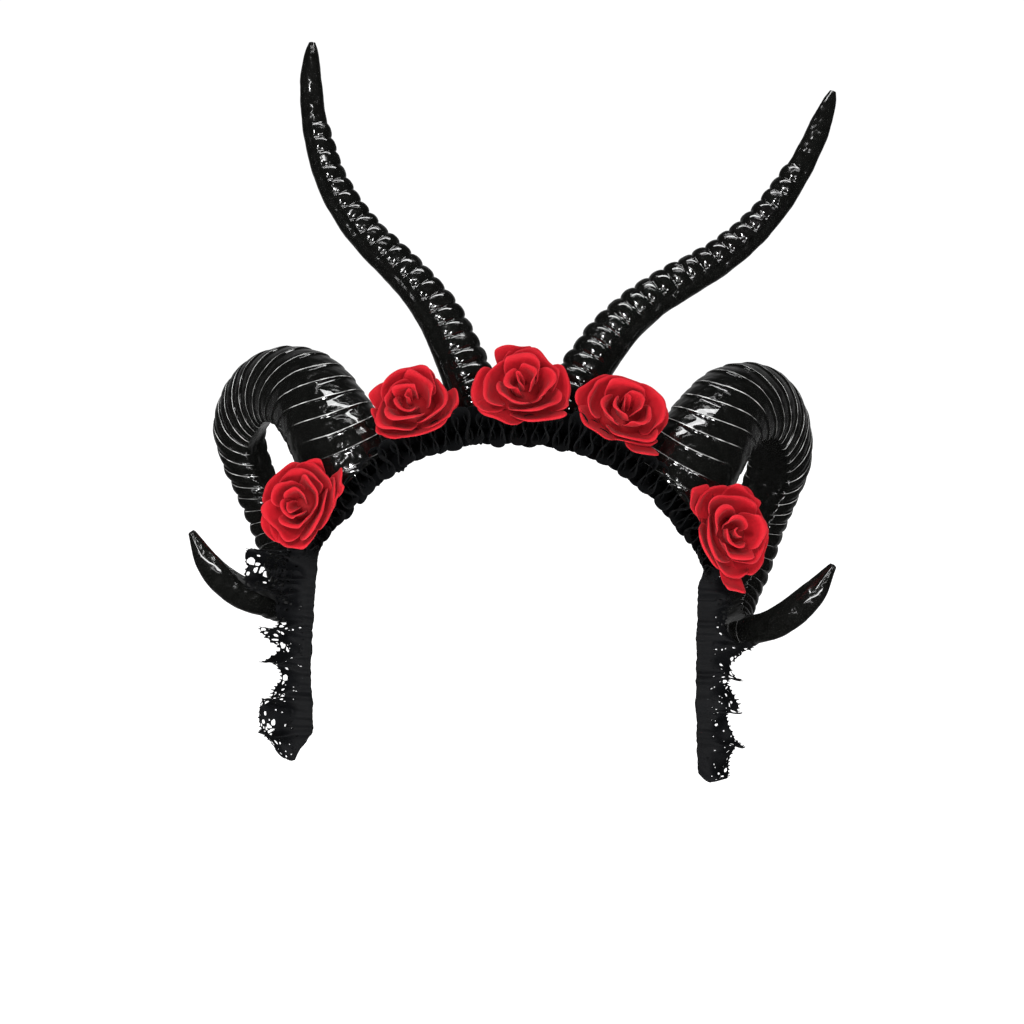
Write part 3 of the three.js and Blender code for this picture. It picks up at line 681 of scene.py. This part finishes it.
def add_petal(bm, cut, rim_highlight_mark, painted_shade_mark, ring, heading, draw, level):
    """One petal of a ring; level is 0 in the outermost ring and 1 in the innermost."""
    _, _, half, *profile = ring
    half = math.radians(half) * draw.uniform(0.94, 1.1)
    reach, rise = draw.uniform(0.9, 1.06), draw.uniform(-0.08, 0.08)
    tuck = draw.uniform(0.05, 0.1)  # one side of a petal lies under its neighbour
    waves, phase = draw.uniform(0.8, 1.5), draw.uniform(0, math.tau)
    ruffling, seed = draw.uniform(0.02, 0.06), draw.uniform(0, 90)

    def place(i, j):
        u, up = 2 * i / PETAL_ACROSS - 1, j / PETAL_UP
        rounded = up * (1 - 0.36 * abs(u) ** 4)
        out, lift = petal_profile(*profile, rounded)
        width = 0.5 + 0.5 * smoothstep(up, 0, 0.55) - 0.16 * smoothstep(up, 0.65, 1)
        angle = heading + half * u * width
        wave = ruffling * rounded**2 * math.sin(waves * math.pi * u + phase)
        out = out * reach + tuck * u * min(1, 2.5 * up) * min(out, 0.6) + wave
        lift = lift + rise + 0.6 * wave - 0.05 * u * u * up
        point = rose_point(out, angle, lift)
        wide, deep = CRUMPLE_WIDE
        crumple = Vector([unevenness(point, wide, seed + axis * 7) for axis in range(3)]) * deep
        wide, deep = CRUMPLE_FINE
        crumple += Vector([unevenness(point, wide, seed + 31 + axis) for axis in range(3)]) * deep
        return point + crumple * up

    before = set(bm.faces)
    on_petal = {}
    for corner, i, j in skin(bm, PETAL_ACROSS, PETAL_UP, place):
        u, up = on_petal[corner] = 2 * i / PETAL_ACROSS - 1, j / PETAL_UP
        # The rim mark paints a highlight along the petal's edges; the depth mark paints shade towards its
        # foot, deeper in the inner rings.
        at_side = smoothstep(abs(u), 0.88, 1) * smoothstep(up, 0.3, 0.6)
        corner[rim_highlight_mark] = max(smoothstep(up, 0.86, 1), at_side)
        corner[painted_shade_mark] = (1 - smoothstep(up, 0.25, 0.9)) * (0.7 + 0.3 * level)
    length = ROSE_HEIGHT * 1.3 * MM
    for face in set(bm.faces) - before:
        for loop in face.loops:
            u, up = on_petal[loop.vert]
            loop[cut].uv = (u * half * ROSE_RADIUS * MM, up * length)


def add_bloom(bm, lobes, seed):
    """A whole flower of separate petals, facing +Z, with its back at the origin."""
    draw = random.Random(seed)
    cut = bm.loops.layers.uv.new("cut")
    # Marks for the painted highlight on petal rims and the painted shade down in the bloom.
    rim_highlight_mark, painted_shade_mark = bm.verts.layers.float.new("rim"), bm.verts.layers.float.new("depth")
    for level, ring in enumerate(PETAL_RINGS):
        count, start = ring[:2]
        for k in range(count):
            heading = math.radians(start + 360 * k / count + draw.uniform(-20, 20))
            # How far in the ring lies, which deepens its painted shade.
            depth = level / (len(PETAL_RINGS) - 1)
            add_petal(bm, cut, rim_highlight_mark, painted_shade_mark, ring, heading, draw, depth)
    for heading, half, reach in lobes:
        lobe = (1, heading, half, (0.3, 0.1), (0.85 * reach, -0.02), (reach, 0.42), (reach + 0.05, 0.36))
        add_petal(bm, cut, rim_highlight_mark, painted_shade_mark, lobe, math.radians(heading), draw, 0)

    def heart(i, j):
        angle, out = math.tau * i / HEART_AROUND, HEART_REACH * (1 - j / HEART_RINGS)
        lift = 0.02 + 0.5 * (1 - (out / HEART_REACH) ** 2) + 0.05 * math.sin(3 * angle) * out
        return rose_point(out, angle, lift)

    # The heart is given full painted shade.
    for corner, _, _ in skin(bm, HEART_AROUND, HEART_RINGS, heart):
        corner[painted_shade_mark] = 1
    bmesh.ops.remove_doubles(bm, verts=bm.verts, dist=MERGE)


def rose(name, seat, foot_arc, off, ahead, outward, spin, size, seed):
    """A rose and its stem: size scales the flower, and foot_arc is where the stem is stitched."""
    base = hoop_place(seat, HOOP_THICK + off, ahead)
    normal = hoop_frame(seat)[1]
    outward = math.radians(outward)
    facing = normal * math.sin(outward) - Y * math.cos(outward)
    turn = Z.rotation_difference(facing).to_matrix() @ Matrix.Rotation(math.radians(spin), 3, "Z")
    bm = bmesh.new()
    add_bloom(bm, [(heading - spin, *rest) for heading, *rest in ROSE_LOBES[name]], seed)
    bmesh.ops.transform(bm, matrix=Matrix.Translation(base) @ (turn * size).to_4x4(), verts=bm.verts)
    for corner in bm.verts:
        corner.co += normal * (1 - ROSE_PRESS) * max(HOOP_THICK + off - off_head(corner.co), 0)
    finish_piece(f"{name}_petals", bm, PETAL_CLOTH, [name], thickness=0.6, rounds=1)

    foot = hoop_place(foot_arc, HOOP_THICK + SEAT_GAP, 0.2 * HOOP_DEPTH)
    neck = base + facing * 2
    along = (foot - neck).normalized()
    side_way = along.cross(Y).normalized()
    other_way = along.cross(side_way)
    rings = []
    for j in range(STEM_RINGS + 1):
        t = j / STEM_RINGS
        centre = neck.lerp(foot, t) + facing * (1.2 * math.sin(math.pi * t))
        radius = STEM_RADIUS * (1 - 0.45 * t) * (1 + 0.07 * (j % 2))
        rings.append([
            centre + (side_way * math.cos(a) + other_way * math.sin(a)) * radius
            for a in (math.tau * i / STEM_AROUND for i in range(STEM_AROUND))])
    bm = bmesh.new()
    tube(bm, rings)
    finish_piece(f"{name}_stem", bm, BAND_CLOTH, rounds=1)


# Cloth on the hoop


def sheet_cloth(name, along, across, place, flat_length, flat_width, material, replaces, thickness):
    """A sheet of cloth on a fine grid, its UV map in metres of the flat cut."""
    bm = bmesh.new()
    cut = bm.loops.layers.uv.new("cut")
    laid = skin(bm, along, across, lambda i, j: place(i / along, j / across))
    flat = {corner: (i, j) for corner, i, j in laid}
    for face in bm.faces:
        for loop in face.loops:
            i, j = flat[loop.vert]
            loop[cut].uv = (i / along * flat_length * MM, j / across * flat_width * MM)
    return finish_piece(name, bm, material, replaces, thickness=thickness, rounds=1)


def noise_vector(along, across, seed, step=1):
    """Smooth noise on each axis, from a place on the cloth."""
    return Vector([noise.noise(Vector((along, across, seed + axis * step))) for axis in range(3)])


RUFFLE_REACH, RUFFLE_GATHERS, RUFFLE_UNEVEN, RUFFLE_HALF_RUN = 16, 22, 0.9, 108
RUFFLE_PITCH = 2 * RUFFLE_HALF_RUN / RUFFLE_GATHERS
RUFFLE_FULLNESS = 1.9  # flat cloth over the run that it is gathered onto
RUFFLE_STEP_BACK = 4  # how much shorter the under ruffle reaches
# From the crown to the end: how far off the hoop the free edge lies, how far it swings about that and
# the share of its reach. It stands out between the roses and stays low under them.
RUFFLE_SWING = (
    (0, -2.2, 6, 0.9), (0.1, -1.2, 7, 0.9), (0.2, 0.7, 8.6, 1), (0.26, -0.4, 7.6, 0.95),
    (0.35, -1, 6.8, 0.85), (0.44, -1.2, 6.8, 0.95), (0.53, -1.2, 7.2, 1), (0.67, -2.5, 6, 1),
    (0.78, -2.2, 5.6, 1), (0.88, -0.6, 4.2, 0.7), (1, 0.8, 2.4, 0.5))


def ruffle_swing(run, layer):
    """How far off the hoop the free edge lies there, and how far it swings about that."""
    middle = column_at(RUFFLE_SWING, 1, abs(run)) + 1.2 * noise.noise(Vector((run * 9, 3, layer)))
    uneven = 1 + 0.3 * noise.noise(Vector((run * 17, layer * 5, 0)))
    return middle, column_at(RUFFLE_SWING, 2, abs(run)) * uneven


def ruffle_point(run, out, layer):
    """run is -1 to 1 along the hoop, out is 0 at the stitching and 1 at the free edge."""
    phase = math.tau * (RUFFLE_GATHERS * (run + 1) / 2 + layer / 2) + RUFFLE_UNEVEN * math.sin(7 * run)
    middle, swing = ruffle_swing(run, layer)
    lift = middle * out**1.4 - swing * math.cos(phase) * out**0.8
    swell = 0.27 * RUFFLE_PITCH * math.sin(2 * phase) * out**0.8
    reach = (RUFFLE_REACH - RUFFLE_STEP_BACK * layer) * column_at(RUFFLE_SWING, 3, abs(run)) * out
    reach *= 1 + 0.15 * noise.noise(Vector((run * 30, layer, 8)))
    crumple = noise_vector(run * 45, out * 2, layer * 5) * 1.3 * out
    return crumple + hoop_place(
        RUFFLE_HALF_RUN * run + swell, HOOP_THICK / 2 + lift, HOOP_DEPTH / 2 + SEAT_GAP + 0.4 + reach)


def ruffle_backing_point(run, across):
    """The gathered band behind the ruffle, across from its face side to its top."""
    middle, swing = ruffle_swing(run, 2)
    folds = math.sin(math.tau * 2.2 * RUFFLE_GATHERS * run + 2 * math.sin(9 * run))
    spread = (2 * across - 1) * swing * 0.9 * (1 + 0.08 * folds)
    ahead = 1.6 + 1.4 * folds * (0.3 + abs(2 * across - 1))
    ahead += 1.5 * noise.noise(Vector((run * 25, across * 2, 6)))
    return hoop_place(
        RUFFLE_HALF_RUN * run, HOOP_THICK / 2 + middle * 0.8 + spread, HOOP_DEPTH / 2 + SEAT_GAP + ahead)


def crown_ruffle():
    """The ruffle's upper and under layer and the gathered band behind them."""
    flat_length = 2 * RUFFLE_HALF_RUN * RUFFLE_FULLNESS
    for name, faces_to_a_gather, place, replaces in (
            ("crown_ruffle_cloth", 18, lambda u, v: ruffle_point(2 * u - 1, v, 0), ["crown_ruffle"]),
            ("crown_ruffle_under", 18, lambda u, v: ruffle_point(2 * u - 1, v, 1), []),
            ("crown_ruffle_band", 14, lambda u, v: ruffle_backing_point(2 * u - 1, v), [])):
        piece = sheet_cloth(
            name, RUFFLE_GATHERS * faces_to_a_gather, 7, place, flat_length, RUFFLE_REACH, RUFFLE_CLOTH,
            replaces, 0.4)


# Reach and start along the hoop, how far the edge stands ahead, and its wave and gathers.
FRILL_REACH, FRILL_START, FRILL_AHEAD, FRILL_WAVE, FRILL_GATHERS = 29, 104, 4, 5.5, 6
FRILL_OUTLINE = (  # share of the run, then the width past the hoop on the left and on the right
    (0.0, 0.36, 0.42), (0.08, 0.9, 0.4), (0.18, 0.88, 0.26), (0.3, 0.48, 0.26), (0.38, 0.4, 0.5),
    (0.415, 0.5, 0.58), (0.45, 0.66, 0.3), (0.5, 0.4, 0.46), (0.56, 0.66, 0.26), (0.62, 0.32, 0.44),
    (0.68, 0.4, 0.42), (0.74, 0.55, 0.26), (0.83, 0.6, 0.52), (0.88, 0.6, 0.44), (0.94, 0.52, 0.38),
    (1.0, 0.3, 0.3))
FRILL_DENSE = {-1: 0.62, 1: 0.78}  # the share of its width that is close, on the left and on the right
FRILL_INSIDE = (  # share of the run, then how far the frill wraps in past the hoop's inner face
    (0.0, 0.0, 0.2), (0.1, 0.4, 3.4), (0.6, 1.4, 3.4), (0.86, 4.2, 2.2), (0.94, 2.0, 1.8), (1.0, -2.0, 1.5))
FRILL_ON_HOOP = 5  # flat width of the part that lies on the hoop
UNDER_SHORTER = 13  # how much narrower the under layer is
FRILL_HANG = 4.5  # how far the lace hangs past the hoop's end
FRILL_RUN = HOOP_LENGTH + FRILL_HANG - FRILL_START
FRILL_FLAT_LENGTH, FRILL_SPARE_WIDTH = 140, 1.5
LACE_CELL, LACE_RIM, LACE_PICOT = 0.5, 0.8, 1.0  # a face, the close edge and its small loops
LACE_SCALLOP, LACE_SCALLOP_DEPTH = 10.0, 1.7
LACE_FLOWER, LACE_FLOWER_IN, LACE_EYE = 3.2, 4.6, 0.6  # a flower, its way in from the edge, its hole
LACE_SPOTS, LACE_SPOT = 2.1, 0.16  # how far apart the close lace's holes lie, and their radius over that
LACE_NET, LACE_THREAD = 2.3, 0.27  # the mesh of the open net and the thread's share of it


def frill_edge(side, share):
    """The frill's flat width where its cut edge lies, share of the way down."""
    column = 1 if side < 0 else 2
    return FRILL_ON_HOOP + FRILL_REACH * column_at(FRILL_OUTLINE, column, min(max(share, 0), 1))


def frill_point(side, share, width, layer):
    """Where the flat lace lies on the headband, share down its length and width mm across."""
    free = max(width - FRILL_ON_HOOP, 0)
    out = free / FRILL_REACH
    phase = math.tau * FRILL_GATHERS * share + layer * 2.4 + side
    wave = FRILL_WAVE * (math.sin(phase) + 0.35 * math.sin(2.3 * phase + 1)) * (1 - 0.25 * layer)
    loose = smoothstep(out, 0, 0.5)
    curl = 2.6 * math.cos(phase) * loose
    crumple = noise_vector(share * 13, out * 4, side * 3 + layer * 7, 11)
    on_face = HOOP_DEPTH / 2 + 1.5 - 0.6 * layer
    gather = noise.noise(Vector((share * 34, side * 5 + layer, width * 0.04)))
    sag = 4 * math.sin(math.pi * min(width / frill_edge(side, share), 1)) * smoothstep(share, 0.8, 1) - 2
    on_hoop = min(width / FRILL_ON_HOOP, 1)
    inside = column_at(FRILL_INSIDE, 1 if side < 0 else 2, share) * (1 - on_hoop)
    swing = FRILL_AHEAD - HOOP_DEPTH / 2 - 1.5 * layer + wave
    place = hoop_place(
        side * (FRILL_START + FRILL_RUN * share + curl + sag * smoothstep(share, 0.8, 1)),
        HOOP_THICK * on_hoop + free - inside - 0.5 * gather,
        on_face + 0.9 * gather * (1 - 0.5 * loose) + swing * loose)
    return place + crumple * (0.8 + 1.8 * loose)


def lace_is_thread(along, width, edge, dense):
    """Whether the flat lace has thread there: its cut edge is at edge, and it is close up to dense."""
    near = along / LACE_SCALLOP - math.floor(along / LACE_SCALLOP) - 0.5
    rim = edge - LACE_SCALLOP_DEPTH * (1 - math.sqrt(max(0, 1 - (1.9 * near) ** 2)))
    depth = rim - width
    if depth < 0:
        return depth > -LACE_PICOT and int(along / LACE_CELL) % 3 == 0
    if depth < LACE_RIM:
        return True
    across, down = near * LACE_SCALLOP, depth - LACE_FLOWER_IN
    radius, heading = math.hypot(across, down), math.atan2(down, across)
    petal = LACE_FLOWER * (0.5 + 0.5 * abs(math.cos(2.5 * heading)) ** 0.7)
    if radius < LACE_EYE:
        return False
    if radius < petal or width < FRILL_ON_HOOP:
        return True
    if width < dense:
        spot = noise.voronoi(Vector((along / LACE_SPOTS, width / LACE_SPOTS, 0)))[0]
        return spot[0] > LACE_SPOT
    web = noise.voronoi(Vector((along / LACE_NET, width / LACE_NET, 4)))[0]
    return web[1] - web[0] < LACE_THREAD


def lace_frill(name, side, layer, replaces):
    """One layer of lace, cut out flat and then gathered down its side of the hoop."""
    shorter = UNDER_SHORTER * layer
    widest = max(frill_edge(side, row[0]) for row in FRILL_OUTLINE)
    flat_width = widest - shorter + FRILL_SPARE_WIDTH
    along, across = round(FRILL_FLAT_LENGTH / LACE_CELL), round(flat_width / LACE_CELL)
    bm = bmesh.new()
    bmesh.ops.create_grid(bm, x_segments=along, y_segments=across, size=0.5)
    cut = bm.loops.layers.uv.new("cut")
    for corner in bm.verts:
        corner.co = ((corner.co.x + 0.5) * FRILL_FLAT_LENGTH, (corner.co.y + 0.5) * flat_width, 0)
    holes = []
    for face in bm.faces:
        along, width, _ = face.calc_center_median()
        share = along / FRILL_FLAT_LENGTH
        edge = max(frill_edge(side, share) - shorter, FRILL_ON_HOOP + 2)
        dense = min(FRILL_ON_HOOP + 9, FRILL_DENSE[side] * edge)
        if not lace_is_thread(along + layer * 5, width, edge, dense):
            holes.append(face)
    bmesh.ops.delete(bm, geom=holes, context="FACES")
    rims = [corner for corner in bm.verts if corner.is_boundary]
    for _ in range(2):
        bmesh.ops.smooth_vert(bm, verts=rims, factor=0.5, use_axis_x=True, use_axis_y=True)
    flat_area = sum(face.calc_area() for face in bm.faces) * MM * MM
    for face in bm.faces:
        for loop in face.loops:
            loop[cut].uv = loop.vert.co.xy * MM
    for corner in bm.verts:
        along, width, _ = corner.co
        corner.co = frill_point(side, along / FRILL_FLAT_LENGTH, width, layer)
    piece = finish_piece(name, bm, LACE, replaces, thickness=0.3)


BAND_AROUND, BAND_ALONG = 28, 380
BAND_INSET = 0.1  # the band without its laps lies this far inside the hoop
BAND_LAP, BAND_SLANT, BAND_STEP = 9.0, 0.55, 0.16  # one turn's width, its slant and how proud it stands


def hoop_band():
    """The hoop under its wound ribbon, each turn lapping the one before."""
    half_depth, half_thick = HOOP_DEPTH / 2 - BAND_INSET, HOOP_THICK / 2 - BAND_INSET
    rings = []
    for j in range(BAND_ALONG + 1):
        arc = HOOP_LENGTH * (2 * j / BAND_ALONG - 1) * 0.9995  # a hair short of the solid's ends
        point, normal, _ = hoop_frame(arc)
        ring = []
        for i in range(BAND_AROUND):
            angle = math.tau * i / BAND_AROUND
            c, s = math.cos(angle), math.sin(angle)
            flat_y = math.copysign(abs(c) ** 0.35, c) * half_depth
            flat_n = math.copysign(abs(s) ** 0.5, s) * half_thick
            turn = (arc + BAND_SLANT * flat_y) / BAND_LAP
            step = BAND_STEP * (1 - (turn - math.floor(turn))) ** 2
            ring.append(point + normal * (HOOP_THICK / 2 + flat_n * (1 + step / half_thick)) + Y * flat_y)
        rings.append(ring)
    bm = bmesh.new()
    cut = bm.loops.layers.uv.new("cut")
    tube(bm, rings)
    for face in bm.faces:
        for loop in face.loops:
            co = loop.vert.co
            loop[cut].uv = ((co.z + abs(co.x)) * MM, (co.y + 0.4 * co.x) * MM)
    finish_piece("hoop_ribbon", bm, BAND_CLOTH, ["hoop"])


# Stage

FLOOR_HEIGHT = -0.34  # metres


def add_area_light(name, place, target, width, height, power):
    """A softbox that faces the target, its sizes in metres and its power in watts."""
    data = bpy.data.lights.new(name, "AREA")
    data.shape, data.size, data.size_y = "RECTANGLE", width, height
    data.energy = power
    light = bpy.data.objects.new(name, data)
    place = Vector(place)
    facing = (place - Vector(target)).to_track_quat("Z", "Y").to_matrix().to_4x4()
    light.matrix_world = Matrix.Translation(place) @ facing
    light.visible_camera = False
    bpy.context.scene.collection.objects.link(light)


def set_stage():
    """A white floor and surround, and softboxes for the gloss to mirror."""
    bm = bmesh.new()
    bmesh.ops.create_grid(bm, x_segments=1, y_segments=1, size=12)
    mesh = bpy.data.meshes.new("floor")
    bm.to_mesh(mesh)
    bm.free()
    mesh.transform(Matrix.Translation((0, 0, FLOOR_HEIGHT)))
    floor = bpy.data.objects.new("floor", mesh)
    floor_white, _, _ = new_material(
        "floor_white", Roughness=0.9, Specular_IOR_Level=0.0, Base_Color=(0.86, 0.86, 0.86, 1),
        Emission_Color=(1, 1, 1, 1), Emission_Strength=0.9)
    mesh.materials.append(floor_white)
    bpy.context.scene.collection.objects.link(floor)
    floor.visible_glossy = False

    world = bpy.data.worlds.new("studio")
    bpy.context.scene.world = world
    world.use_nodes = True
    w = Wiring(world.node_tree)
    background = world.node_tree.nodes["Background"]
    direction = w.node("ShaderNodeTexCoord").outputs["Generated"]
    axes = w.node("ShaderNodeSeparateXYZ", {"Vector": direction})
    behind = w.node("ShaderNodeMapRange", {"Value": axes.outputs[1], "From Min": 0.6, "From Max": 0.98})
    mirrored = w.mix(behind.outputs[0], (0.01, 0.01, 0.01, 1), (0.16, 0.16, 0.16, 1))
    path = w.node("ShaderNodeLightPath").outputs
    unseen = w.mix(path["Is Glossy Ray"], (0.42, 0.42, 0.42, 1), mirrored)
    seen = w.mix(path["Is Camera Ray"], unseen, (1.05, 1.05, 1.05, 1))
    world.node_tree.links.new(seen, background.inputs["Color"])

    middle = (0, 0, 0.02)
    add_area_light("key_softbox", (-0.55, -1.5, 0.75), middle, 0.22, 0.32, 22)
    add_area_light("fill_softbox", (0.42, -1.45, 0.1), middle, 0.14, 0.36, 8)
    add_area_light("left_strip", (-0.8, -1.35, 0.08), middle, 0.12, 0.4, 4)
    add_area_light("low_reflector", (0, -0.55, -0.3), middle, 0.6, 0.07, 2.5)
    add_area_light("top_softbox", (0.0, -0.1, 1.4), middle, 1.3, 0.22, 13)
    bpy.context.scene.view_settings.view_transform = "Standard"


# The headband

set_camera()
hoop_band()
tall_horn("tall_horn_left", -1, length=197, lean_out=0, tip_lean=-10, seed=11)
tall_horn("tall_horn_right", 1, length=203, lean_out=1.5, tip_lean=5, seed=12)
ram_horn("ram_horn_left", -1, rise=34, inner_turn=65, seed=13)
ram_horn("ram_horn_right", 1, rise=37, inner_turn=30, seed=14)
for number, placing in enumerate(ROSES):
    rose(*placing, seed=21 + number)
crown_ruffle()
for side, word in ((-1, "left"), (1, "right")):
    lace_frill(f"side_lace_{word}", side, 0, [f"lace_frill_{word}"])
    lace_frill(f"side_lace_{word}_under", side, 1, [])
set_stage()
